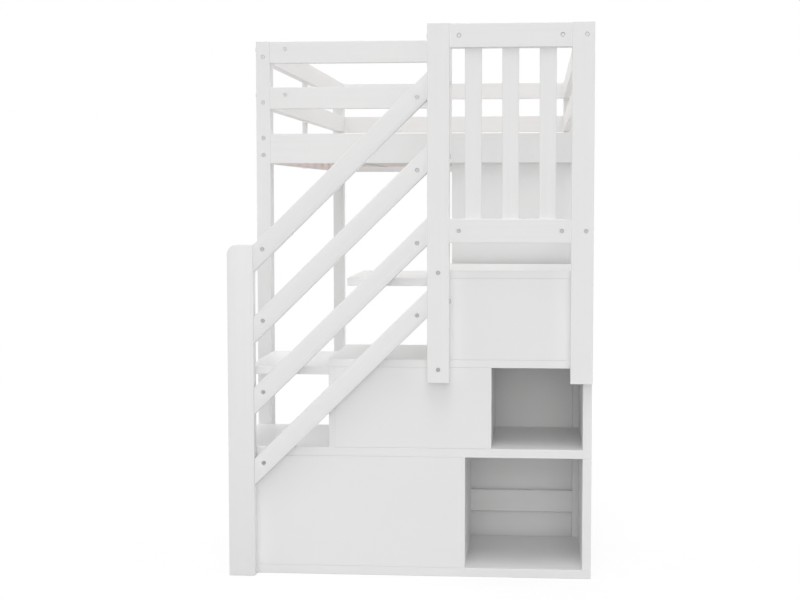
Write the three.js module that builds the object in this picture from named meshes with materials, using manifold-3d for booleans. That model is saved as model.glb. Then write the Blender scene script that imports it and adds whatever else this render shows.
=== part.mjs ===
import * as THREE from 'three';
import { mergeVertices } from 'three/addons/utils/BufferGeometryUtils.js';
import Module from 'manifold-3d';

const wasm = await Module();
wasm.setup();

// Loft bed with storage stairs at its near end, in millimetres. X runs across the bed, from the foot
// of the stairs to the wall side. Y runs along the bed and is zero at the front of the stair boxes.
// Z is up, from the floor.

// Bed frame
const bedWidth = 1060;
const bedLength = 1994;
const bedHeight = 1611;
const postWidth = 45;
const postDepth = 63;
const railThickness = 26;
const safetyRailHeight = 69;
const upperRailGap = 76;
const lowerRailGap = 79;
const bedRailHeight = 95;
const crossbarHeight = 69;
const crossbarLift = 106;
const entryWidth = 388;
const gatePostWidth = 44;
const stileWidth = 40;
const stileThickness = 15;

// Slatted deck
const cleatHeight = 22;
const cleatWidth = 20;
const slatCount = 10;
const slatWidth = 68;
const slatThickness = 18;
const slatEndGap = 1;
const slatRowGap = 5;
const strapWidth = 30;
const strapThickness = 3;
const strapSink = 1;
const strapSpread = 600;

// Board that closes the back of the open compartments
const closingBoardThickness = 16;
const closingBoardLap = 22;

// Stair boxes and treads
const stairDepth = 450;
const baseBoardThickness = 26;
const treadThickness = 23;
const sideBoardThickness = 19;
const wallBoardThickness = 26;
const frontPanelThickness = 18;
const firstStepHeight = 380;
const stepRise = 261.5;
const middleBoxWidth = 770;
const upperBoxWidth = 476;
const treadOverhang = 238;
const lowerCompartmentWidth = 343;
const middleCompartmentWidth = 266;

// Guard beside the top of the stairs
const guardThickness = 45;
const guardWidth = 477;
const guardPostWidth = 64;
const guardPostLift = 579;
const guardRailHeight = 69;
const guardRailLift = 984;
const guardRailSetback = 5;
const balusterCount = 3;
const balusterWidth = 48;
const balusterThickness = 18;
const balusterPitch = 106.7;
const tenonLength = 14;
const tenonShoulder = 4;
const tenonClearance = 0.3;

// Newel post and handrails
const newelWidth = 85;
const newelHeight = 978;
const newelOverhang = 3;
const newelCornerRadius = 28;
const handrailCount = 4;
const handrailWidth = 57;
const handrailRise = 490;
const handrailSpacing = 209.3;
const lowestHandrailLift = 277.5;

// Rails beside the landing, on the wall side
const landingRailInset = 9;

// Edges and bores
const timberEdgeRadius = 2;
const boardEdgeRadius = 1.5;
const boreRadius = 6.5;
const boreDepth = 4;
const endBoltLift = 45;
const sideBoltLift = 21;
const bedRailBoltLift = 27;
const bedRailBoltDrop = 13;
const railNutSetback = 49;
const guardNutSetback = 27;
const handrailFootNutSetback = 20;
const handrailHeadNutSetback = 29;
const handrailBoltRise = 7;
const guardFootBoltLift = 38;
const guardLandingBoltLift = 319;

// Roundness of the drawn arcs
const edgeSegments = 3;
const cornerSegments = 10;
const boreSegments = 16;

// Overrun of the blocks that trim the handrails
const cutOverrun = 10;

const wallX = bedWidth / 2;
const footX = -wallX;
const innerWallX = wallX - postWidth;
const innerFootX = -innerWallX;
const nearY = stairDepth;
const farY = nearY + bedLength;
const nearRailY = nearY + railThickness;
const farRailY = farY - railThickness;
const nearPostY = nearY + postDepth;
const farPostY = farY - postDepth;

const topRailZ = bedHeight - safetyRailHeight;
const middleRailTopZ = topRailZ - upperRailGap;
const middleRailZ = middleRailTopZ - safetyRailHeight;
const bedRailTopZ = middleRailZ - lowerRailGap;
const bedRailZ = bedRailTopZ - bedRailHeight;
const deckZ = bedRailZ + cleatHeight;
const gateX = innerWallX - entryWidth;

const firstTopZ = firstStepHeight;
const secondTopZ = firstTopZ + stepRise;
const thirdTopZ = secondTopZ + stepRise;
const secondTreadZ = secondTopZ - treadThickness;
const thirdTreadZ = thirdTopZ - treadThickness;
const middleBoxX = wallX - middleBoxWidth;
const upperBoxX = wallX - upperBoxWidth;
const wallBoardX = wallX - wallBoardThickness;

const guardX = wallX - guardWidth;
const guardInnerX = guardX + guardPostWidth;
const guardWallPostX = wallX - guardPostWidth;
const guardRailY = guardRailSetback - guardThickness;
const guardRailTopZ = guardRailLift + guardRailHeight;
const newelX = footX - newelOverhang;
const newelFaceX = newelX + newelWidth;
const handrailRun = guardX - newelFaceX;
const handrailReach = Math.hypot(handrailRise, handrailRun);
const handrailCut = handrailWidth * handrailReach / handrailRun;
const landingRailX = wallX - landingRailInset - railThickness;

const paintedTimber = { color: '#e7e7e6', roughness: 0.45, metalness: 0 };
const paintedBoard = { color: '#e7e7e7', roughness: 0.4, metalness: 0 };
const bareTimber = { color: '#d4bcae', roughness: 0.7, metalness: 0 };

const axisBases = {
  x: [new THREE.Vector3(0, 1, 0), new THREE.Vector3(0, 0, 1), new THREE.Vector3(1, 0, 0)],
  y: [new THREE.Vector3(0, 0, 1), new THREE.Vector3(1, 0, 0), new THREE.Vector3(0, 1, 0)],
  z: [new THREE.Vector3(1, 0, 0), new THREE.Vector3(0, 1, 0), new THREE.Vector3(0, 0, 1)],
};

function alongAxis(geometry, axis) {
  return geometry.applyMatrix4(new THREE.Matrix4().makeBasis(...axisBases[axis]));
}

function makeMesh(name, finish, geometry, corner) {
  const mesh = new THREE.Mesh(geometry, new THREE.MeshStandardMaterial(finish));
  mesh.name = name;
  mesh.position.copy(corner);
  return mesh;
}

// A section with rounded corners, drawn out along one axis, with its lowest corner at the origin.
function roundedBar(size, axis, radius) {
  const [across, up] = { x: [size.y, size.z], y: [size.z, size.x], z: [size.x, size.y] }[axis];
  const section = new THREE.Shape();
  section.absarc(radius, radius, radius, Math.PI, 3 * Math.PI / 2);
  section.absarc(across - radius, radius, radius, 3 * Math.PI / 2, 2 * Math.PI);
  section.absarc(across - radius, up - radius, radius, 0, Math.PI / 2);
  section.absarc(radius, up - radius, radius, Math.PI / 2, Math.PI);
  const options = { depth: size[axis], bevelEnabled: false, curveSegments: edgeSegments };
  return alongAxis(new THREE.ExtrudeGeometry(section, options), axis);
}

function makeBar(name, finish, axis, radius, low, high) {
  const size = high.clone().sub(low);
  return makeMesh(name, finish, roundedBar(size, axis, radius), low);
}

function timber(name, axis, low, high) {
  return makeBar(name, paintedTimber, axis, timberEdgeRadius, low, high);
}

function board(name, axis, low, high) {
  return makeBar(name, paintedBoard, axis, boardEdgeRadius, low, high);
}

function point(x, y, z) {
  return new THREE.Vector3(x, y, z);
}

function toSolid(geometry) {
  const bare = geometry.clone();
  bare.deleteAttribute('normal');
  bare.deleteAttribute('uv');
  const welded = mergeVertices(bare);
  return new wasm.Manifold(new wasm.Mesh({
    numProp: 3,
    vertProperties: new Float32Array(welded.attributes.position.array),
    triVerts: new Uint32Array(welded.index.array),
  }));
}

function toGeometry(solid) {
  const mesh = solid.getMesh();
  const geometry = new THREE.BufferGeometry();
  geometry.setAttribute('position', new THREE.BufferAttribute(mesh.vertProperties, 3));
  geometry.setIndex(new THREE.BufferAttribute(mesh.triVerts, 1));
  return geometry;
}

function blockSolid(low, high) {
  const size = high.clone().sub(low);
  const middle = low.clone().add(high).multiplyScalar(1 / 2);
  const geometry = new THREE.BoxGeometry(size.x, size.y, size.z);
  return toSolid(geometry.translate(middle.x, middle.y, middle.z));
}

// A blind bore sunk into a face: the axis is the one it runs along, the side is 1 where it enters
// from the low face and -1 where it enters from the high face.
function boreSolid(centre, axis, side) {
  const length = boreDepth * 2;
  const geometry = new THREE.CylinderGeometry(boreRadius, boreRadius, length, boreSegments);
  geometry.rotateX(Math.PI / 2);
  alongAxis(geometry, axis);
  const middle = centre.clone();
  middle[axis] += side * (boreDepth - length / 2);
  return toSolid(geometry.translate(middle.x, middle.y, middle.z));
}

function bore(mesh, axis, side, centres) {
  let body = toSolid(mesh.geometry);
  for (const centre of centres) {
    body = body.subtract(boreSolid(centre.clone().sub(mesh.position), axis, side));
  }
  mesh.geometry = toGeometry(body);
  return mesh;
}

// Bolts enter the end face of a post for the long rails and its outer face for the end rails.
function cornerPost(end, side, x, y) {
  const high = point(x + postWidth, y + postDepth, bedHeight);
  const post = timber(`${end}_${side}_post`, 'z', point(x, y, 0), high);
  const [endY, endSide] = { near: [y, 1], far: [y + postDepth, -1] }[end];
  const [outerX, outerSide] = { foot: [x, 1], wall: [x + postWidth, -1] }[side];
  const railY = endY + endSide * railThickness / 2;
  const longBolts = [
    topRailZ + sideBoltLift,
    middleRailZ + sideBoltLift,
    bedRailZ + bedRailBoltLift,
    bedRailTopZ - bedRailBoltDrop,
  ];
  const endBolts = [topRailZ + endBoltLift, middleRailZ + endBoltLift];
  bore(post, 'y', endSide, longBolts.map((z) => point(x + postWidth / 2, endY, z)));
  return bore(post, 'x', outerSide, endBolts.map((z) => point(outerX, railY, z)));
}

function cornerPosts() {
  return [['foot', footX], ['wall', innerWallX]].flatMap(([side, x]) => [
    cornerPost('near', side, x, nearY),
    cornerPost('far', side, x, farPostY),
  ]);
}

// The three rails on each long side stand flush with the inner faces of the posts.
function longSide(side, x) {
  const outerX = x + railThickness;
  const rail = (name, z, height) => timber(
    `${side}_side_${name}`, 'y', point(x, nearPostY, z), point(outerX, farPostY, z + height));
  return [
    rail('top_rail', topRailZ, safetyRailHeight),
    rail('middle_rail', middleRailZ, safetyRailHeight),
    rail('bed_rail', bedRailZ, bedRailHeight),
  ];
}

function longSideStile(side, x) {
  const low = point(x, (nearY + farY - stileWidth) / 2, bedRailZ);
  const high = point(x + stileThickness, low.y + stileWidth, bedHeight);
  return timber(`${side}_side_stile`, 'z', low, high);
}

function cleat(side, x) {
  const low = point(x, nearPostY, bedRailZ);
  const high = point(x + cleatWidth, farPostY, deckZ);
  return makeBar(`${side}_side_cleat`, bareTimber, 'y', boardEdgeRadius, low, high);
}

function nearEnd() {
  const rail = (name, endX, z, height) => timber(
    name, 'x', point(innerFootX, nearY, z), point(endX, nearRailY, z + height));
  const nut = (z) => [point(innerFootX + railNutSetback, nearY, z + endBoltLift)];
  const gateLow = point(gateX - gatePostWidth, nearY, bedRailTopZ);
  return [
    bore(rail('near_top_rail', gateLow.x, topRailZ, safetyRailHeight), 'y', 1, nut(topRailZ)),
    bore(rail('near_middle_rail', gateLow.x, middleRailZ, safetyRailHeight), 'y', 1, nut(middleRailZ)),
    rail('near_bed_rail', innerWallX, bedRailZ, bedRailHeight),
    rail('near_crossbar', innerWallX, crossbarLift, crossbarHeight),
    timber('gate_post', 'z', gateLow, point(gateX, nearRailY, bedHeight)),
  ];
}

function farEnd() {
  const rail = (name, z, height) => timber(
    name, 'x', point(innerFootX, farRailY, z), point(innerWallX, farY, z + height));
  const nuts = (z) => [innerFootX + railNutSetback, innerWallX - railNutSetback].map(
    (x) => point(x, farY, z + endBoltLift));
  return [
    bore(rail('far_top_rail', topRailZ, safetyRailHeight), 'y', -1, nuts(topRailZ)),
    bore(rail('far_middle_rail', middleRailZ, safetyRailHeight), 'y', -1, nuts(middleRailZ)),
    rail('far_bed_rail', bedRailZ, bedRailHeight),
  ];
}

// A roll of slats: two straps, let into the undersides of the slats, hold them at one pitch.
function slatDeck() {
  const length = bedWidth - 2 * (postWidth + slatEndGap);
  const row = farPostY - nearPostY - 2 * slatRowGap;
  const pitch = (row - slatWidth) / (slatCount - 1);
  const slatSize = point(length, slatWidth, slatThickness);
  let deck = null;
  for (let i = 0; i < slatCount; i += 1) {
    const slat = roundedBar(slatSize, 'x', boardEdgeRadius).translate(0, i * pitch, 0);
    deck = deck ? deck.add(toSolid(slat)) : toSolid(slat);
  }
  for (const side of [-1, 1]) {
    const middle = (length + side * strapSpread) / 2;
    const low = point(middle - strapWidth / 2, 0, strapSink - strapThickness);
    deck = deck.add(blockSolid(low, point(middle + strapWidth / 2, row, strapSink)));
  }
  const corner = point(-length / 2, nearPostY + slatRowGap, deckZ);
  return makeMesh('slat_deck', bareTimber, toGeometry(deck), corner);
}

function closingBoard() {
  const high = point(innerWallX, nearRailY + closingBoardThickness, bedRailZ + closingBoardLap);
  return board('closing_board', 'z', point(gateX, nearRailY, 0), high);
}

// One stair box: side boards, a front panel over the closed part, and the tread on top. The parts
// stand between the floor of the box and the underside of its tread.
function boxSides(name, x, floorZ, treadZ) {
  const side = (end, lowX, highX) => board(
    `${name}_${end}_side`, 'z', point(lowX, 0, floorZ), point(highX, stairDepth, treadZ));
  return [side('foot', x, x + sideBoardThickness), side('wall', wallBoardX, wallX)];
}

function boxFront(name, x, endX, floorZ, treadZ) {
  const low = point(x + sideBoardThickness, 0, floorZ);
  return board(`${name}_front_panel`, 'x', low, point(endX, frontPanelThickness, treadZ));
}

function boxDivider(name, endX, floorZ, treadZ) {
  const low = point(endX - sideBoardThickness, frontPanelThickness, floorZ);
  return board(`${name}_divider`, 'z', low, point(endX, stairDepth, treadZ));
}

function crossBoard(name, x, endX, z, topZ) {
  return board(name, 'x', point(x, 0, z), point(endX, stairDepth, topZ));
}

function lowerBox() {
  const openX = wallBoardX - lowerCompartmentWidth;
  const underZ = firstTopZ - baseBoardThickness;
  return [
    crossBoard('lower_box_base', footX, wallX, 0, baseBoardThickness),
    ...boxSides('lower_box', footX, baseBoardThickness, underZ),
    boxFront('lower_box', footX, openX, baseBoardThickness, underZ),
    boxDivider('lower_box', openX, baseBoardThickness, underZ),
    crossBoard('lower_box_top', footX, wallX, underZ, firstTopZ),
  ];
}

function tread(name, boxX, topZ) {
  return crossBoard(name, boxX - treadOverhang, boxX, topZ - treadThickness, topZ);
}

function middleBox() {
  const openX = wallBoardX - middleCompartmentWidth;
  return [
    ...boxSides('middle_box', middleBoxX, firstTopZ, secondTreadZ),
    boxFront('middle_box', middleBoxX, openX, firstTopZ, secondTreadZ),
    boxDivider('middle_box', openX, firstTopZ, secondTreadZ),
    crossBoard('middle_box_top', middleBoxX, wallX, secondTreadZ, secondTopZ),
    tread('middle_tread', middleBoxX, secondTreadZ),
  ];
}

function upperBox() {
  return [
    ...boxSides('upper_box', upperBoxX, secondTopZ, thirdTreadZ),
    boxFront('upper_box', upperBoxX, wallBoardX, secondTopZ, thirdTreadZ),
    crossBoard('upper_box_top', upperBoxX, wallX, thirdTreadZ, thirdTopZ),
    tread('upper_tread', upperBoxX, thirdTreadZ),
  ];
}

function balusterMiddle(i) {
  return (guardInnerX + guardWallPostX) / 2 + (i - (balusterCount - 1) / 2) * balusterPitch;
}

// Room for the tenon of each baluster, cut in the edge of a guard rail.
function mortises(railZ, spare) {
  const middleY = guardRailY / 2;
  const halfWidth = balusterWidth / 2 - tenonShoulder + spare;
  const halfDepth = balusterThickness / 2 - tenonShoulder + spare;
  const pockets = [];
  for (let i = 0; i < balusterCount; i += 1) {
    const x = balusterMiddle(i);
    const low = point(x - halfWidth, middleY - halfDepth, railZ - tenonLength - spare);
    const high = point(x + halfWidth, middleY + halfDepth, railZ + tenonLength + spare);
    pockets.push(blockSolid(low, high));
  }
  return pockets;
}

function guardRail(name, z, edgeZ) {
  const low = point(guardInnerX, guardRailY, z);
  const rail = timber(name, 'x', low, point(guardWallPostX, 0, z + guardRailHeight));
  let body = toSolid(rail.geometry);
  for (const pocket of mortises(edgeZ, tenonClearance)) {
    body = body.subtract(pocket.translate([-low.x, -low.y, -low.z]));
  }
  rail.geometry = toGeometry(body);
  return bore(rail, 'y', 1, [
    point(guardInnerX + guardNutSetback, guardRailY, z + guardRailHeight / 2),
    point(guardWallPostX - guardNutSetback, guardRailY, z + guardRailHeight / 2),
  ]);
}

function baluster(i) {
  const x = balusterMiddle(i);
  const middleY = guardRailY / 2;
  const low = point(x - balusterWidth / 2, middleY - balusterThickness / 2, guardRailTopZ);
  const high = point(x + balusterWidth / 2, middleY + balusterThickness / 2, topRailZ);
  const mesh = timber(`guard_baluster_${i + 1}`, 'z', low, high);
  let body = toSolid(mesh.geometry);
  for (const z of [guardRailTopZ, topRailZ]) {
    const tenon = mortises(z, 0)[i];
    body = body.add(tenon.translate([-low.x, -low.y, -low.z]));
  }
  mesh.geometry = toGeometry(body);
  return mesh;
}

function guardPost(name, x, boltX, boltHeights) {
  const low = point(x, -guardThickness, guardPostLift);
  const post = timber(name, 'z', low, point(x + guardPostWidth, 0, bedHeight));
  return bore(post, 'y', 1, boltHeights.map((z) => point(boltX, low.y, z)));
}

// The foot post takes the handrails' bolts in its inner face, except where the bottom rail covers it.
function guardFootPost(railMiddles) {
  const front = [guardPostLift + guardFootBoltLift, guardPostLift + guardLandingBoltLift];
  const post = guardPost('guard_foot_post', guardX, guardX + guardPostWidth / 2, front);
  const clearOfRail = (z) => z + boreRadius < guardRailLift || z - boreRadius > guardRailTopZ;
  const inner = handrailFootMiddles()
    .map((z) => z + handrailRise + handrailBoltRise)
    .filter(clearOfRail)
    .map((z) => point(guardInnerX, guardRailY / 2, z));
  bore(post, 'x', 1, [point(guardX, guardRailY / 2, railMiddles.top)]);
  return bore(post, 'x', -1, inner);
}

function guardWallPost(railMiddles) {
  const heights = [railMiddles.top, railMiddles.bottom];
  const post = guardPost('guard_wall_post', guardWallPostX, landingRailX + railThickness / 2, heights);
  return bore(post, 'x', -1, heights.map((z) => point(wallX, guardRailY / 2, z)));
}

function stairGuard() {
  const railMiddles = {
    top: topRailZ + guardRailHeight / 2,
    bottom: guardRailLift + guardRailHeight / 2,
  };
  const pieces = [guardFootPost(railMiddles), guardWallPost(railMiddles)];
  pieces.push(guardRail('guard_top_rail', topRailZ, topRailZ));
  pieces.push(guardRail('guard_bottom_rail', guardRailLift, guardRailTopZ));
  for (let i = 0; i < balusterCount; i += 1) {
    pieces.push(baluster(i));
  }
  return pieces;
}

function newelPost() {
  const outline = new THREE.Shape();
  outline.moveTo(0, 0);
  outline.lineTo(newelWidth, 0);
  outline.lineTo(newelWidth, newelHeight);
  outline.lineTo(newelCornerRadius, newelHeight);
  outline.absarc(
    newelCornerRadius, newelHeight - newelCornerRadius, newelCornerRadius, Math.PI / 2, Math.PI);
  const geometry = new THREE.ExtrudeGeometry(outline, {
    depth: guardThickness - 2 * timberEdgeRadius,
    bevelThickness: timberEdgeRadius,
    bevelSize: timberEdgeRadius,
    bevelOffset: -timberEdgeRadius,
    bevelSegments: edgeSegments,
    curveSegments: cornerSegments,
  });
  geometry.translate(0, 0, timberEdgeRadius).rotateX(Math.PI / 2);
  const post = makeMesh('newel_post', paintedTimber, geometry, point(newelX, 0, 0));
  return bore(post, 'x', 1, handrailFootMiddles().map((z) => point(newelX, guardRailY / 2, z)));
}

// Heights of the middles of the handrails' lower ends.
function handrailFootMiddles() {
  const middles = [];
  for (let i = 0; i < handrailCount; i += 1) {
    middles.push(lowestHandrailLift + i * handrailSpacing + handrailCut / 2);
  }
  return middles;
}

// Each handrail is a straight bar laid at the slope of the stairs and cut plumb at both ends, where
// it meets the newel and the guard post.
function handrail(i) {
  const depth = -guardRailY;
  const slope = handrailRise / handrailRun;
  const length = handrailReach + handrailWidth * slope + 2 * cutOverrun;
  const bar = roundedBar(point(length, depth, handrailWidth), 'x', timberEdgeRadius);
  bar.translate(-cutOverrun, 0, 0).rotateY(-Math.atan(slope));
  const between = blockSolid(
    point(0, -cutOverrun, -cutOverrun),
    point(handrailRun, depth + cutOverrun, handrailRise + handrailCut + cutOverrun));
  const corner = point(newelFaceX, guardRailY, lowestHandrailLift + i * handrailSpacing);
  const geometry = toGeometry(toSolid(bar).intersect(between));
  const mesh = makeMesh(`handrail_${i + 1}`, paintedTimber, geometry, corner);
  const nuts = [handrailFootNutSetback, handrailRun - handrailHeadNutSetback];
  return bore(mesh, 'y', 1, nuts.map(
    (x) => point(corner.x + x, corner.y, corner.z + x * slope + handrailCut / 2)));
}

function landingRail(name, z, height) {
  const low = point(landingRailX, 0, z);
  return timber(name, 'y', low, point(landingRailX + railThickness, nearY, z + height));
}

const bed = new THREE.Group();
bed.name = 'loft_bed';
bed.position.set(newelOverhang / 2, (guardThickness - farY) / 2, 0);
bed.add(...cornerPosts());
bed.add(...nearEnd(), ...farEnd());
bed.add(...longSide('foot', innerFootX - railThickness), ...longSide('wall', innerWallX));
bed.add(longSideStile('foot', innerFootX - railThickness - stileThickness));
bed.add(longSideStile('wall', innerWallX + railThickness));
bed.add(cleat('foot', innerFootX), cleat('wall', innerWallX - cleatWidth));
bed.add(slatDeck(), closingBoard());
bed.add(...lowerBox(), ...middleBox(), ...upperBox());
bed.add(...stairGuard(), newelPost());
for (let i = 0; i < handrailCount; i += 1) {
  bed.add(handrail(i));
}
bed.add(landingRail('landing_top_rail', topRailZ, safetyRailHeight));
bed.add(landingRail('landing_low_rail', guardRailLift, guardRailHeight));

const part = new THREE.Group();
part.name = 'loft_bed_with_storage_stairs';
part.add(bed);

export default part;
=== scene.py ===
from math import atan2, cos, pi, radians

import bpy
from mathutils import Matrix, Vector


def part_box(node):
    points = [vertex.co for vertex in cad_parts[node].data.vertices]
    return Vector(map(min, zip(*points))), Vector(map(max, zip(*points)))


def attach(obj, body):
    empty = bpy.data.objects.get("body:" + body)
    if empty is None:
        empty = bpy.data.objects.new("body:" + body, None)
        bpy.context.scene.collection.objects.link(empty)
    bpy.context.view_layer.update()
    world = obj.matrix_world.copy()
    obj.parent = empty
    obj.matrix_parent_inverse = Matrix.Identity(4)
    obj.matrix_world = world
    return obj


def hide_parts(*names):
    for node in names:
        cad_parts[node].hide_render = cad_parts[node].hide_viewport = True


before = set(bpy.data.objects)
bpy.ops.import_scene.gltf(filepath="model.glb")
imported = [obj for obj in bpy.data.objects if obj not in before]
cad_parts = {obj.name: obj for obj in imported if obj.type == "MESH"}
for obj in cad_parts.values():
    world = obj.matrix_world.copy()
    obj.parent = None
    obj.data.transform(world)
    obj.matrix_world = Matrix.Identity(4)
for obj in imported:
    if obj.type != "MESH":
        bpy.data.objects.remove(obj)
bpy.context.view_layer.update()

bpy.context.scene.view_settings.view_transform = "Standard"
print("loft bed: frame loaded,", len(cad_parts), "solids")


cameraSetup = {
    "place": (0.3632, -5.7574, 1.1273),
    "turn": (86.109, 0.063, 4.898),   # degrees
    "lens": 70.64,                    # millimetres
    "farthest": 100,                  # metres
}


def setUpCamera(setup):
    bpy.ops.object.camera_add(location=setup["place"], rotation=[radians(a) for a in setup["turn"]])
    camera = bpy.context.object
    camera.name = "studioCamera"
    camera.data.lens = setup["lens"]
    camera.data.clip_end = setup["farthest"]
    bpy.context.scene.camera = camera


setUpCamera(cameraSetup)
print("camera set")


def addNode(tree, kind, **inputs):
    node = tree.nodes.new(kind)
    for name, value in inputs.items():
        setInput(tree, node, name.replace("_", " "), value)
    return node


def setInput(tree, node, name, value):
    if isinstance(value, bpy.types.NodeSocket):
        tree.links.new(value, node.inputs[name])
    else:
        node.inputs[name].default_value = value


def calculate(tree, operation, first, second=0.0):
    node = tree.nodes.new("ShaderNodeMath")
    node.operation = operation
    setInput(tree, node, 0, first)
    setInput(tree, node, 1, second)
    return node.outputs[0]


# Turns a span of values into a span of results, and holds the last result past either end.
def remap(tree, value, span, results=(0.0, 1.0)):
    node = addNode(tree, "ShaderNodeMapRange", Value=value, From_Min=span[0], From_Max=span[1],
                   To_Min=results[0], To_Max=results[1])
    return node.outputs["Result"]


def blendColour(tree, factor, first, second):
    node = tree.nodes.new("ShaderNodeMix")
    node.data_type = "RGBA"
    for index, value in ((0, factor), (6, first), (7, second)):   # sockets of a mix of colours
        setInput(tree, node, index, (*value, 1) if isinstance(value, tuple) else value)
    return node.outputs[2]   # the mixed colour


def newMaterial(name):
    material = bpy.data.materials.new(name)
    material.use_nodes = True
    tree = material.node_tree
    tree.nodes.clear()
    shader = tree.nodes.new("ShaderNodeBsdfPrincipled")
    output = tree.nodes.new("ShaderNodeOutputMaterial")
    tree.links.new(shader.outputs[0], output.inputs["Surface"])
    return material, tree, shader


# Noise drawn out along a bar: turn lays the bar's length on X, cell is the noise cell in metres.
def grainNoise(tree, turn, cell, detail=5.0, roughness=0.6, distortion=0.3):
    coordinates = tree.nodes.new("ShaderNodeTexCoord").outputs["Object"]
    mapping = addNode(tree, "ShaderNodeMapping", Vector=coordinates, Rotation=turn, Scale=cell)
    mapping.vector_type = "TEXTURE"
    noise = addNode(tree, "ShaderNodeTexNoise", Vector=mapping.outputs[0], Scale=1.0, Detail=detail,
                    Roughness=roughness, Distortion=distortion)
    return noise.outputs[0]


# Noise of one cell size in all directions.
def evenNoise(tree, cell, detail=2.0):
    coordinates = tree.nodes.new("ShaderNodeTexCoord").outputs["Object"]
    noise = addNode(tree, "ShaderNodeTexNoise", Vector=coordinates, Scale=1 / cell, Detail=detail)
    return noise.outputs[0]


edgeFade = (0.985, 0.87)   # largest part of the normal where a flat face ends and a full edge starts


# 1 on the rounded edges of a square piece, 0 on its flat faces: where the painted edge shade goes.
def edgeShadeMask(tree, turn):
    normal = tree.nodes.new("ShaderNodeNewGeometry").outputs["Normal"]
    turned = addNode(tree, "ShaderNodeMapping", Vector=normal, Rotation=turn)
    turned.vector_type = "TEXTURE"
    absolute = tree.nodes.new("ShaderNodeVectorMath")
    absolute.operation = "ABSOLUTE"
    tree.links.new(turned.outputs[0], absolute.inputs[0])
    parts = addNode(tree, "ShaderNodeSeparateXYZ", Vector=absolute.outputs[0]).outputs
    highest = calculate(tree, "MAXIMUM", calculate(tree, "MAXIMUM", parts[0], parts[1]), parts[2])
    return remap(tree, highest, edgeFade)


# Bumps on top of each other. Each layer is (height, depth in metres).
def bumps(tree, *layers):
    normal = None
    for height, depth in layers:
        bump = addNode(tree, "ShaderNodeBump", Height=height, Strength=1.0, Distance=depth)
        if normal:
            tree.links.new(normal, bump.inputs["Normal"])
        normal = bump.outputs[0]
    return normal


# White satin paint on solid timber, with painted shade on the rounded edges that shows as dark joint lines.
timberPaint = {
    "colour": (0.900, 0.900, 0.897),
    "thinColour": (0.876, 0.874, 0.866),   # where the grain stands up and the coat is thin
    # painted shade on the rounded edges, broken up by the grain
    "edgeShadeColour": (0.800, 0.798, 0.790),
    "roughness": (0.36, 0.50),
    "sheenSpan": (0.6, 1.4),               # grain and tone noise together: smoothest, roughest
    "grainCell": (0.42, 0.011, 0.011),     # metres, as all cells and depths
    "grainDepth": 0.00012,
    "thinGrain": (0.45, 0.75),             # grain noise where the coat starts to thin and is thinnest
    "edgeGrain": (0.3, 0.7),
    "edgeShadeShare": (0.4, 1.0),               # how much of the painted edge shade the grain lets through
    "stippleCell": 0.0022,
    "stippleDepth": 0.00004,
    "toneCell": 0.35,
    "toneSpan": (0.3, 0.7),
    "toneShare": (0.2, 1.0),               # how much thin coat shows from place to place
}


def makeTimberPaint(name, turn):
    look = timberPaint
    material, tree, shader = newMaterial(name)
    grain = grainNoise(tree, turn, look["grainCell"])
    stipple = evenNoise(tree, look["stippleCell"])
    tone = evenNoise(tree, look["toneCell"])
    raised = remap(tree, grain, look["thinGrain"])
    patchy = remap(tree, tone, look["toneSpan"], look["toneShare"])
    thin = calculate(tree, "MULTIPLY", raised, patchy)
    face = blendColour(tree, thin, look["colour"], look["thinColour"])
    # Painted shade: the rounded edges take the darker edge colour.
    unevenEdgeShade = remap(tree, grain, look["edgeGrain"], look["edgeShadeShare"])
    edge = calculate(tree, "MULTIPLY", edgeShadeMask(tree, turn), unevenEdgeShade)
    setInput(tree, shader, "Base Color", blendColour(tree, edge, face, look["edgeShadeColour"]))
    sheen = calculate(tree, "ADD", grain, tone)
    setInput(tree, shader, "Roughness", remap(tree, sheen, look["sheenSpan"], look["roughness"]))
    layers = (grain, look["grainDepth"]), (stipple, look["stippleDepth"])
    setInput(tree, shader, "Normal", bumps(tree, *layers))
    return material


# White satin lacquer on board, with painted shade on the rounded edges that shows as dark joint lines.
boardPaint = {
    "colour": (0.905, 0.905, 0.903),
    "dullColour": (0.889, 0.889, 0.885),
    # painted shade on the rounded edges
    "edgeShadeColour": (0.850, 0.849, 0.843),
    "roughness": (0.30, 0.40),
    "sheenSpan": (0.6, 1.4),   # roller and tone noise together: smoothest, roughest
    "rollerCell": 0.0040,
    "rollerDepth": 0.00005,
    "stippleCell": 0.0012,
    "stippleDepth": 0.00002,
    "waveCell": 0.16,
    "waveDepth": 0.0006,
    "toneCell": 0.5,
    "toneSpan": (0.35, 0.7),   # tone noise where the lacquer starts to dull and is dullest
}


def makeBoardPaint(name):
    look = boardPaint
    material, tree, shader = newMaterial(name)
    roller = evenNoise(tree, look["rollerCell"])
    stipple = evenNoise(tree, look["stippleCell"])
    wave = evenNoise(tree, look["waveCell"], detail=0.0)
    tone = evenNoise(tree, look["toneCell"])
    dull = remap(tree, tone, look["toneSpan"])
    face = blendColour(tree, dull, look["colour"], look["dullColour"])
    # Painted shade: the rounded edges take the darker edge colour.
    edge = edgeShadeMask(tree, (0, 0, 0))
    setInput(tree, shader, "Base Color", blendColour(tree, edge, face, look["edgeShadeColour"]))
    sheen = calculate(tree, "ADD", roller, tone)
    setInput(tree, shader, "Roughness", remap(tree, sheen, look["sheenSpan"], look["roughness"]))
    layers = (wave, look["waveDepth"]), (roller, look["rollerDepth"]), (stipple, look["stippleDepth"])
    setInput(tree, shader, "Normal", bumps(tree, *layers))
    return material


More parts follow.
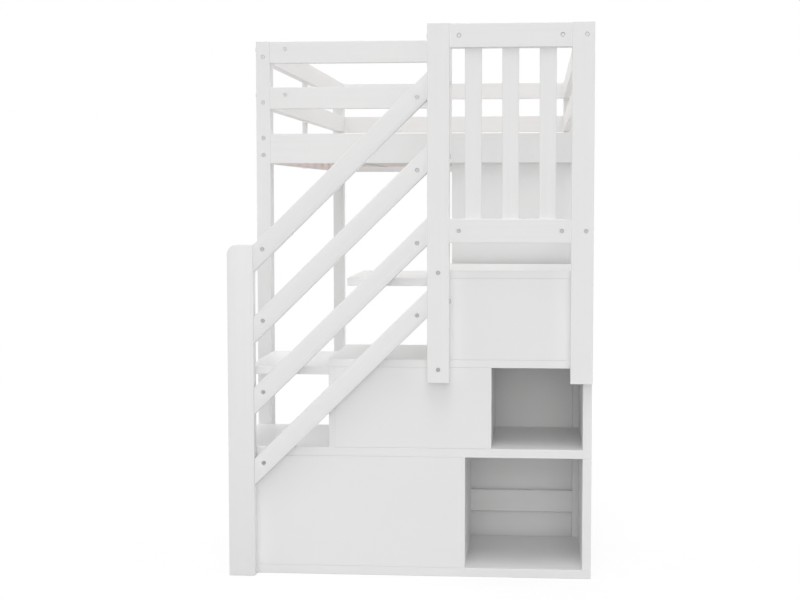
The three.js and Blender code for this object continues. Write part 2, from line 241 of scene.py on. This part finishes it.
# Planed bare timber, with woven straps under the slats.
bareTimber = {
    "paleColour": (0.82, 0.75, 0.71),
    "warmColour": (0.74, 0.65, 0.60),
    "knotColour": (0.42, 0.29, 0.23),
    "roughness": (0.55, 0.75),
    "sheenSpan": (0.3, 0.7),      # fibre noise: smoothest, roughest
    "grainCell": (0.9, 0.010, 0.010),
    "grainSway": 1.2,
    "grainSpan": (0.35, 0.68),    # grain noise: pale, warm
    "grainDepth": 0.00025,
    "fibreCell": (0.05, 0.0012, 0.0012),
    "fibreDetail": 2.0,
    "fibreSpan": (0.5, 0.8),
    "fibreShare": 0.3,            # how much warm colour a fibre gets
    "fibreDepth": 0.00010,
    "knotCell": 0.23,
    "knotSpan": (0.03, 0.07),     # dark core and outer edge, as shares of the cell
}
# The cleats are a rosier timber than the slats, and made paler: painted light for the light that falls on
# them between the slats.
cleatPaintedLightLook = {**bareTimber, "paleColour": (0.93, 0.80, 0.79), "warmColour": (0.88, 0.75, 0.73)}
slatStraps = {
    "colour": (0.72, 0.71, 0.69),
    "shadeColour": (0.45, 0.44, 0.43),
    "shadeShare": 0.25,
    "top": 1.24485,               # metres above the floor: what lies lower is strap
    "weaveCell": 0.0016,
    "weaveDepth": 0.0003,
}


def makeBareTimber(name, turn, look, straps=None):
    material, tree, shader = newMaterial(name)
    grain = grainNoise(tree, turn, look["grainCell"], distortion=look["grainSway"])
    fibre = grainNoise(tree, turn, look["fibreCell"], detail=look["fibreDetail"])
    coordinates = tree.nodes.new("ShaderNodeTexCoord").outputs["Object"]
    knots = addNode(tree, "ShaderNodeTexVoronoi", Vector=coordinates, Scale=1 / look["knotCell"],
                    Randomness=1.0)
    knot = remap(tree, knots.outputs["Distance"], look["knotSpan"], (1.0, 0.0))
    warm = remap(tree, grain, look["grainSpan"])
    wood = blendColour(tree, warm, look["paleColour"], look["warmColour"])
    dark = calculate(tree, "MULTIPLY", remap(tree, fibre, look["fibreSpan"]), look["fibreShare"])
    wood = blendColour(tree, dark, wood, look["warmColour"])
    wood = blendColour(tree, knot, wood, look["knotColour"])
    layers = [(grain, look["grainDepth"]), (fibre, look["fibreDepth"])]
    if straps:
        height = addNode(tree, "ShaderNodeSeparateXYZ", Vector=coordinates).outputs[2]
        strap = calculate(tree, "LESS_THAN", height, straps["top"])
        weave = tree.nodes.new("ShaderNodeTexChecker")
        setInput(tree, weave, "Vector", coordinates)
        setInput(tree, weave, "Scale", 1 / straps["weaveCell"])
        shade = calculate(tree, "MULTIPLY", weave.outputs["Fac"], straps["shadeShare"])
        cloth = blendColour(tree, shade, straps["colour"], straps["shadeColour"])
        wood = blendColour(tree, strap, wood, cloth)
        woven = calculate(tree, "MULTIPLY", weave.outputs["Fac"], strap)
        layers.append((woven, straps["weaveDepth"]))
    setInput(tree, shader, "Base Color", wood)
    setInput(tree, shader, "Roughness", remap(tree, fibre, look["sheenSpan"], look["roughness"]))
    setInput(tree, shader, "Normal", bumps(tree, *layers))
    return material


# Nickelled steel of the bolt heads and barrel nuts, with a painted reflection that darkens towards the
# floor.
fittingSteel = {
    "colour": (0.80, 0.80, 0.81),
    "dullColour": (0.73, 0.73, 0.73),
    "paintedLowReflection": (0.38, 0.38, 0.385),   # painted reflection: the fittings get darker towards the floor
    "paintedReflectionSpan": (0.30, 1.55),          # metres above the floor: where the painted reflection is darkest, brightest
    "roughness": (0.28, 0.48),
    "sheenSpan": (0.3, 0.7),            # scratch noise: smoothest, roughest
    "scratchTurn": (0.3, 0.5, 0.2),
    "scratchCell": (0.012, 0.0004, 0.0004),
    "scratchDepth": 0.00003,
    "spotCell": 0.004,
    "spotSpan": (0.4, 0.7),             # spot noise: bright, dull
}


def makeFittingSteel(name):
    look = fittingSteel
    material, tree, shader = newMaterial(name)
    scratch = grainNoise(tree, look["scratchTurn"], look["scratchCell"])
    spot = evenNoise(tree, look["spotCell"])
    coordinates = tree.nodes.new("ShaderNodeTexCoord").outputs["Object"]
    height = addNode(tree, "ShaderNodeSeparateXYZ", Vector=coordinates).outputs[2]
    # Painted reflection: the steel colour fades to the dark one lower down.
    bright = remap(tree, height, look["paintedReflectionSpan"])
    dull = remap(tree, spot, look["spotSpan"])
    metal = blendColour(tree, dull, look["colour"], look["dullColour"])
    setInput(tree, shader, "Base Color", blendColour(tree, bright, look["paintedLowReflection"], metal))
    setInput(tree, shader, "Roughness", remap(tree, scratch, look["sheenSpan"], look["roughness"]))
    setInput(tree, shader, "Normal", bumps(tree, (scratch, look["scratchDepth"])))
    shader.inputs["Metallic"].default_value = 1.0
    return material


handrailCount = 4
closeTo = {"face": 0.0005, "cut": 0.0001, "point": 0.00001}   # metres: within this, a corner is on it


# How far a handrail climbs from its foot to its head, and how far it runs.
def handrailClimb():
    low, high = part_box("handrail_1")
    corners = [vertex.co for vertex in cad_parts["handrail_1"].data.vertices]
    headZ = min(corner.z for corner in corners if corner.x > high.x - closeTo["face"])
    return headZ - low.z, high.x - low.x


climb, run = handrailClimb()
slope = atan2(climb, run)
turns = {"X": (0, 0, 0), "Y": (0, 0, pi / 2), "Z": (0, -pi / 2, 0), "Slope": (0, -slope, 0)}
timberPaints = {along: makeTimberPaint("timberPaint" + along, turn) for along, turn in turns.items()}
boardLacquer = makeBoardPaint("boardLacquer")
slatTimber = makeBareTimber("slatTimber", turns["X"], bareTimber, slatStraps)
cleatTimberPaintedLight = makeBareTimber("cleatTimberPaintedLight", turns["Y"], cleatPaintedLightLook)
steel = makeFittingSteel("fittingSteel")
print("materials made")


def longestAxis(node):
    low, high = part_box(node)
    return "XYZ"[max(range(3), key=lambda i: high[i] - low[i])]


def finishOf(node):
    if node == "slat_deck":
        return slatTimber
    if node.endswith("cleat"):
        return cleatTimberPaintedLight
    if node.startswith(("lower_box", "middle_box", "upper_box", "middle_tread", "upper_tread", "closing")):
        return boardLacquer
    if node.startswith("handrail"):
        return timberPaints["Slope"]
    return timberPaints[longestAxis(node)]


for nodeName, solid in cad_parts.items():
    solid.data.materials.clear()
    solid.data.materials.append(finishOf(nodeName))
print("solids dressed")


boltSizes = {                   # metres
    "radius": 0.0058,
    "height": 0.0034,
    "proudRadius": 0.0070,
    "proudHeight": 0.0029,
    "rim": 0.0008,
    "rimSteps": 3,
    "socket": 0.0026,           # centre to corner
    "socketDepth": 0.0020,
    "socketCorners": 6,
    "corners": 32,
}
nutSizes = {
    "radius": 0.0050,
    "height": 0.0030,
    "rim": 0.0005,
    "rimSteps": 3,
    "slotWidth": 0.0013,
    "slotLength": 0.0075,
    "slotDepth": 0.0009,
    "corners": 28,
}
seats = {
    "bore": 0.004,              # depth of the bore that a flush fitting lies in
    "boreRadius": 0.0065,
    "boreCorners": 32,
    "sink": 0.00002,            # how far a proud head is let into the face
}
boltPlaces = {                  # metres
    "longRail": 0.021,          # above the underside of the top and middle side rails
    "bedRailLow": 0.027,        # above the underside of the bed rail
    "bedRailHigh": 0.013,       # below its top
    "endRail": 0.045,           # above the underside of the top and middle end rails
    "railNut": 0.049,           # from the ends of those rails
    "guardNut": 0.027,          # from the ends of the guard rails
    "guardFoot": 0.038,         # above the lower end of the guard's foot post
    "guardLanding": 0.319,      # above it too
    "handrailFootNut": 0.020,   # from the lower end of the handrail
    "handrailHeadNut": 0.029,   # from its upper end
    "handrailHead": 0.007,      # above the middle of its upper end
}
front, back, footward, wallward = (0, -1, 0), (0, 1, 0), (-1, 0, 0), (1, 0, 0)
spins = {"first": 11, "step": 23}   # degrees: no two heads of one piece stop at the same turn
smoothAngle = 35                    # degrees: edges that turn more than this stay crisp


def deselectAll():
    if bpy.context.object and bpy.context.object.mode != "OBJECT":
        bpy.ops.object.mode_set(mode="OBJECT")
    bpy.ops.object.select_all(action="DESELECT")


# Rounds the edges whose two ends pass the test.
def roundEdges(piece, test, size, steps):
    deselectAll()
    piece.select_set(True)
    bpy.context.view_layer.objects.active = piece
    bpy.ops.object.mode_set(mode="EDIT")
    bpy.ops.mesh.select_all(action="DESELECT")
    bpy.ops.object.mode_set(mode="OBJECT")
    for edge in piece.data.edges:
        edge.select = test(*(piece.data.vertices[i].co for i in edge.vertices))
    bpy.ops.object.mode_set(mode="EDIT")
    bpy.ops.mesh.select_mode(type="EDGE")
    bpy.ops.mesh.bevel(offset=size, segments=steps, affect="EDGES")
    bpy.ops.object.mode_set(mode="OBJECT")


# A round disc standing on the floor plane, with its upper rim rounded.
def addDisc(name, radius, height, sizes):
    deselectAll()
    bpy.ops.mesh.primitive_cylinder_add(vertices=sizes["corners"], radius=radius, depth=height,
                                        location=(0, 0, height / 2))
    disc = bpy.context.object
    disc.name = name
    bpy.ops.object.transform_apply(location=True, rotation=True, scale=True)
    roundEdges(disc, lambda a, b: min(a.z, b.z) > height / 2, sizes["rim"], sizes["rimSteps"])
    return disc


def addBox(name, low, high):
    deselectAll()
    bpy.ops.mesh.primitive_cube_add(size=1, location=(low + high) / 2)
    box = bpy.context.object
    box.name = name
    box.scale = high - low
    bpy.ops.object.transform_apply(location=True, rotation=True, scale=True)
    return box


# Takes the cutter's shape out of the piece, and the cutter out of the scene.
def cutAway(piece, cutter):
    deselectAll()
    piece.select_set(True)
    bpy.context.view_layer.objects.active = piece
    cut = piece.modifiers.new("cut", "BOOLEAN")
    cut.operation = "DIFFERENCE"
    cut.object = cutter
    bpy.ops.object.modifier_apply(modifier="cut")
    bpy.data.objects.remove(cutter)
    bpy.ops.object.shade_smooth_by_angle(angle=radians(smoothAngle))


# Blind bore for a fitting, square to the face it is in.
def bore(piece, spot, outward):
    deselectAll()
    turn = Vector(outward).to_track_quat("Z", "Y").to_euler()
    bpy.ops.mesh.primitive_cylinder_add(vertices=seats["boreCorners"], radius=seats["boreRadius"],
                                        depth=2 * seats["bore"], location=spot, rotation=turn)
    cutAway(piece, bpy.context.object)


def makeBolt(name, radius, height):
    bolt = addDisc(name, radius, height, boltSizes)
    deselectAll()
    bpy.ops.mesh.primitive_cylinder_add(vertices=boltSizes["socketCorners"], radius=boltSizes["socket"],
                                        depth=2 * boltSizes["socketDepth"], location=(0, 0, height))
    cutAway(bolt, bpy.context.object)
    return bolt


def makeNut(name):
    nut = addDisc(name, nutSizes["radius"], nutSizes["height"], nutSizes)
    deselectAll()
    bpy.ops.mesh.primitive_cube_add(size=1, location=(0, 0, nutSizes["height"]))
    slot = bpy.context.object
    slot.scale = (nutSizes["slotLength"], nutSizes["slotWidth"], 2 * nutSizes["slotDepth"])
    bpy.ops.object.transform_apply(location=True, rotation=True, scale=True)
    cutAway(nut, slot)
    return nut


patterns = {
    "bolt": makeBolt("boltPattern", boltSizes["radius"], boltSizes["height"]),
    "proud": makeBolt("proudPattern", boltSizes["proudRadius"], boltSizes["proudHeight"]),
    "nut": makeNut("nutPattern"),
}


# Middles of the lower ends of the handrails, lowest first.
def handrailFeet():
    feet = []
    for i in range(handrailCount):
        low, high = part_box(f"handrail_{i + 1}")
        cut = high.z - low.z - climb   # height of the plumb cut at each end
        feet.append(Vector((low.x, (low.y + high.y) / 2, low.z + cut / 2)))
    return feet


newelSizes = {
    "width": 0.0770,        # slimmer than its solid, so that the bed shows past it as photographed
    "thickness": 0.040,     # flush with the handrails
    "corner": 0.028,
    "cornerSteps": 12,
    "edge": 0.002,
    "edgeSteps": 3,
}
handrailSizes = {
    "width": 0.057,
    "edge": 0.002,
    "edgeSteps": 3,
    "spare": 0.08,          # sawn off past each end
    "endEdge": 0.0015,      # edge of the sawn ends, which shows as a fine line at the joints
    "endEdgeSteps": 2,
    "headNutDrop": 0.005,   # below the middle line
}


def makeNewel():
    low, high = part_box("newel_post")
    high.x = low.x + newelSizes["width"]
    low.y = high.y - newelSizes["thickness"]
    newel = addBox("newel_board", low, high)
    cornerX, cornerZ = low.x + newelSizes["corner"], high.z - newelSizes["corner"]
    roundEdges(newel, lambda a, b: max(a.x, b.x) < cornerX and min(a.z, b.z) > cornerZ,
               newelSizes["corner"], newelSizes["cornerSteps"])
    edges = newel.modifiers.new("edges", "BEVEL")
    edges.width = newelSizes["edge"]
    edges.segments = newelSizes["edgeSteps"]
    edges.limit_method = "ANGLE"
    bpy.ops.object.modifier_apply(modifier="edges")
    for foot in handrailFeet():
        bore(newel, (low.x, foot.y, foot.z), footward)
    newel.data.materials.append(timberPaints["Z"])
    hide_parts("newel_post")
    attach(newel, "root")
    return high.x


# A nut near each end of a handrail, in its front.
def handrailNutSpots(foot, frontY):
    spots = []
    setbacks = (boltPlaces["handrailFootNut"], run - boltPlaces["handrailHeadNut"])
    for x, drop in zip(setbacks, (0, handrailSizes["headNutDrop"])):
        spots.append((foot.x + x, frontY, foot.z + x * climb / run - drop))
    return spots


# A straight bar, laid at the slope of the stairs and sawn plumb at the newel and at the guard post.
def makeHandrail(newelFace):
    low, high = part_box("handrail_1")
    foot = handrailFeet()[0]
    centre = foot + Vector((run / 2, 0, climb / 2))
    halfLength = run / cos(slope) / 2 + handrailSizes["spare"]
    reach = Vector((halfLength, (high.y - low.y) / 2, handrailSizes["width"] / 2))
    bar = addBox("handrail_bar_1", centre - reach, centre + reach)
    roundEdges(bar, lambda a, b: abs(a.x - b.x) > halfLength,
               handrailSizes["edge"], handrailSizes["edgeSteps"])
    bpy.ops.object.mode_set(mode="EDIT")
    bpy.ops.mesh.select_all(action="SELECT")
    bpy.ops.transform.rotate(value=slope, orient_axis="Y", center_override=centre)
    bpy.ops.mesh.bisect(plane_co=(newelFace, 0, 0), plane_no=(1, 0, 0), use_fill=True, clear_inner=True)
    bpy.ops.mesh.select_all(action="SELECT")
    bpy.ops.mesh.bisect(plane_co=(high.x, 0, 0), plane_no=(1, 0, 0), use_fill=True, clear_outer=True)
    bpy.ops.object.mode_set(mode="OBJECT")
    afterFoot, beforeHead = newelFace + closeTo["cut"], high.x - closeTo["cut"]
    roundEdges(bar, lambda a, b: abs(a.x - b.x) < closeTo["point"] and not afterFoot < a.x < beforeHead,
               handrailSizes["endEdge"], handrailSizes["endEdgeSteps"])
    for spot in handrailNutSpots(foot, low.y):
        bore(bar, spot, front)
    bar.data.materials.append(timberPaints["Slope"])
    return bar


def addHandrails(newelFace):
    first = makeHandrail(newelFace)
    feet = handrailFeet()
    for i, foot in enumerate(feet):
        bar = first
        if i > 0:
            bar = first.copy()
            bar.data = first.data.copy()
            bar.name = f"handrail_bar_{i + 1}"
            bpy.context.scene.collection.objects.link(bar)
            bar.data.transform(Matrix.Translation(foot - feet[0]))
        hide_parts(f"handrail_{i + 1}")
        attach(bar, "root")


addHandrails(makeNewel())
print("newel and handrails made")


# Copies of the fittings on one solid, joined. Each place is (kind, point on the face, outward direction).
def addFittings(name, places):
    copies = []
    for i, (kind, spot, outward) in enumerate(places):
        copy = patterns[kind].copy()
        copy.data = patterns[kind].data.copy()
        bpy.context.scene.collection.objects.link(copy)
        outward = Vector(outward)
        sink = seats["sink"] if kind == "proud" else seats["bore"]
        lay = outward.to_track_quat("Z", "Y").to_matrix().to_4x4()
        spin = 0 if kind == "nut" else spins["first"] + i * spins["step"]
        spun = lay @ Matrix.Rotation(radians(spin), 4, "Z")
        copy.data.transform(Matrix.Translation(Vector(spot) - outward * sink) @ spun)
        copies.append(copy)
    deselectAll()
    for copy in copies:
        copy.select_set(True)
    bpy.context.view_layer.objects.active = copies[0]
    if len(copies) > 1:
        bpy.ops.object.join()
    piece = bpy.context.object
    piece.name = name
    piece.data.materials.clear()
    piece.data.materials.append(steel)
    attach(piece, "root")


def middle(node):
    low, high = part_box(node)
    return (low + high) / 2


# Heads in the end face hold the long rails, heads in the outer face hold the end rails.
def addPostBolts(end, side):
    post = f"{end}_{side}_post"
    low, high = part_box(post)
    bedLow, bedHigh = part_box("near_bed_rail")
    railHeights = [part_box(rail)[0].z for rail in ("near_top_rail", "near_middle_rail")]
    faceY, faceDirection = (low.y, front) if end == "near" else (high.y, back)
    outerX, outerDirection = (low.x, footward) if side == "foot" else (high.x, wallward)
    kind = "proud" if side == "foot" else "bolt"   # the wall side stays flush
    heights = [z + boltPlaces["longRail"] for z in railHeights]
    heights += [bedLow.z + boltPlaces["bedRailLow"], bedHigh.z - boltPlaces["bedRailHigh"]]
    places = [("bolt", ((low.x + high.x) / 2, faceY, z), faceDirection) for z in heights]
    railY = middle(f"{end}_top_rail").y
    places += [(kind, (outerX, railY, z + boltPlaces["endRail"]), outerDirection) for z in railHeights]
    addFittings(post + "_bolts", places)


def addRailNuts():
    for rail in ("near_top_rail", "near_middle_rail"):
        low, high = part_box(rail)
        spot = (low.x + boltPlaces["railNut"], low.y, low.z + boltPlaces["endRail"])
        addFittings(rail + "_nuts", [("nut", spot, front)])
    for rail in ("far_top_rail", "far_middle_rail"):
        low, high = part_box(rail)
        spots = (low.x + boltPlaces["railNut"], high.x - boltPlaces["railNut"])
        z = low.z + boltPlaces["endRail"]
        addFittings(rail + "_nuts", [("nut", (x, high.y, z), back) for x in spots])
    for rail in ("guard_top_rail", "guard_bottom_rail"):
        low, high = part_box(rail)
        spots = (low.x + boltPlaces["guardNut"], high.x - boltPlaces["guardNut"])
        addFittings(rail + "_nuts", [("nut", (x, low.y, (low.z + high.z) / 2), front) for x in spots])


def addGuardBolts():
    low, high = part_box("guard_foot_post")
    topRail, lowRail = middle("guard_top_rail"), middle("guard_bottom_rail")
    railLow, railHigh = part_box("guard_bottom_rail")
    middleX = (low.x + high.x) / 2
    heights = [low.z + boltPlaces[key] for key in ("guardFoot", "guardLanding")]
    places = [("bolt", (middleX, low.y, z), front) for z in heights]
    places.append(("proud", (low.x, topRail.y, topRail.z), footward))
    for foot in handrailFeet():
        z = foot.z + climb + boltPlaces["handrailHead"]
        if not railLow.z < z < railHigh.z:   # the bottom rail covers this one
            places.append(("proud", (high.x, foot.y, z), wallward))
    addFittings("guard_foot_post_bolts", places)
    low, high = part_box("guard_wall_post")
    boltX = middle("landing_top_rail").x
    places = [("bolt", (boltX, low.y, rail.z), front) for rail in (topRail, lowRail)]
    places += [("bolt", (high.x, rail.y, rail.z), wallward) for rail in (topRail, lowRail)]
    addFittings("guard_wall_post_bolts", places)


def addHandrailFittings():
    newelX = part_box("newel_post")[0].x
    feet = handrailFeet()
    addFittings("newel_post_bolts", [("bolt", (newelX, foot.y, foot.z), footward) for foot in feet])
    for i, foot in enumerate(feet):
        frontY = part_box(f"handrail_{i + 1}")[0].y
        places = [("nut", spot, front) for spot in handrailNutSpots(foot, frontY)]
        addFittings(f"handrail_{i + 1}_nuts", places)


for postEnd in ("near", "far"):
    for postSide in ("foot", "wall"):
        addPostBolts(postEnd, postSide)
addRailNuts()
addGuardBolts()
addHandrailFittings()
for pattern in patterns.values():
    bpy.data.objects.remove(pattern)
print("bolts and nuts placed")


studio = {
    "floorSize": 60.0,
    "floorColour": 0.55,
    "floorLevel": 0.98,          # light on the open floor, as a share of a plain white
    "shadowShare": 0.30,         # how much of the floor's shadow the camera sees near the bed
    "shadowReach": (2.2, 4.5),   # metres from the middle: where that share ends, where none is left
    "ambient": 0.235,            # light from all round, on top of the lamps
}
lamps = {                        # one without an aim points at the middle of the floor
    "steep": {"kind": "SUN", "place": (0.0, -3.4, 7.2), "spread": 30, "power": 0.69},
    "low": {"kind": "SUN", "place": (0.0, -7.3, 3.4), "spread": 50, "power": 0.65},
    "left": {"kind": "SUN", "place": (-6.9, 0.0, 4.0), "spread": 60, "power": 0.94},
    "right": {"kind": "SUN", "place": (6.9, 0.0, 4.0), "spread": 60, "power": 0.94},
    "front": {"kind": "AREA", "place": (0.5, -8.0, 1.6), "aim": (0.0, -1.0, 0.9), "size": 3.0, "power": 49},
    "overhead": {"kind": "AREA", "place": (0.0, 0.0, 8.0), "size": 6.0, "power": 112},
    "behind": {"kind": "AREA", "place": (0.0, 6.5, 4.0), "aim": (0.0, 0.0, 0.9), "size": 4.0, "power": 120},
}


# 1 for the rays that should see a plain white studio, 0 for those that carry light between surfaces.
def seenDirectly(tree):
    seen = tree.nodes.new("ShaderNodeLightPath").outputs
    mirrored = calculate(tree, "MAXIMUM", seen["Is Glossy Ray"], seen["Is Transmission Ray"])
    return calculate(tree, "MAXIMUM", seen["Is Camera Ray"], mirrored)


def addFloor(look):
    deselectAll()
    bpy.ops.mesh.primitive_plane_add(size=look["floorSize"])
    floor = bpy.context.object
    floor.name = "studio_floor"
    material = bpy.data.materials.new("studioFloor")
    material.use_nodes = True
    tree = material.node_tree
    tree.nodes.clear()
    direct = seenDirectly(tree)
    coordinates = tree.nodes.new("ShaderNodeTexCoord").outputs["Object"]
    distance = tree.nodes.new("ShaderNodeVectorMath")
    distance.operation = "LENGTH"
    tree.links.new(coordinates, distance.inputs[0])
    share = remap(tree, distance.outputs["Value"], look["shadowReach"], (look["shadowShare"], 0.0))
    colour = calculate(tree, "MULTIPLY", share, look["floorColour"])
    glow = calculate(tree, "SUBTRACT", 1.0, calculate(tree, "MULTIPLY", colour, look["floorLevel"]))
    grey = remap(tree, direct, (0.0, 1.0), (look["floorColour"], colour))
    diffuse = addNode(tree, "ShaderNodeBsdfDiffuse", Color=grey)
    emission = addNode(tree, "ShaderNodeEmission", Strength=calculate(tree, "MULTIPLY", glow, direct))
    both = tree.nodes.new("ShaderNodeAddShader")
    output = tree.nodes.new("ShaderNodeOutputMaterial")
    tree.links.new(diffuse.outputs[0], both.inputs[0])
    tree.links.new(emission.outputs[0], both.inputs[1])
    tree.links.new(both.outputs[0], output.inputs["Surface"])
    floor.data.materials.append(material)


def addWorld(look):
    world = bpy.data.worlds.new("studioWorld")
    bpy.context.scene.world = world
    world.use_nodes = True
    tree = world.node_tree
    background = tree.nodes["Background"]
    background.inputs["Color"].default_value = (1, 1, 1, 1)
    strength = remap(tree, seenDirectly(tree), (0.0, 1.0), (look["ambient"], 1.0))   # 1 is white
    setInput(tree, background, "Strength", strength)


def addLamp(name, setup):
    bpy.ops.object.light_add(type=setup["kind"], location=setup["place"])
    lamp = bpy.context.object
    lamp.name = name + "Lamp"
    lamp.data.energy = setup["power"]
    if setup["kind"] == "SUN":
        lamp.data.angle = radians(setup["spread"])
    else:
        lamp.data.shape = "DISK"
        lamp.data.size = setup["size"]
    aim = Vector(setup.get("aim", (0, 0, 0)))
    lamp.rotation_euler = (aim - lamp.location).to_track_quat("-Z", "Y").to_euler()
    lamp.visible_camera = False
    lamp.visible_glossy = False


addFloor(studio)
addWorld(studio)
for lampName, lampSetup in lamps.items():
    addLamp(lampName, lampSetup)
print("floor, world and lamps set")
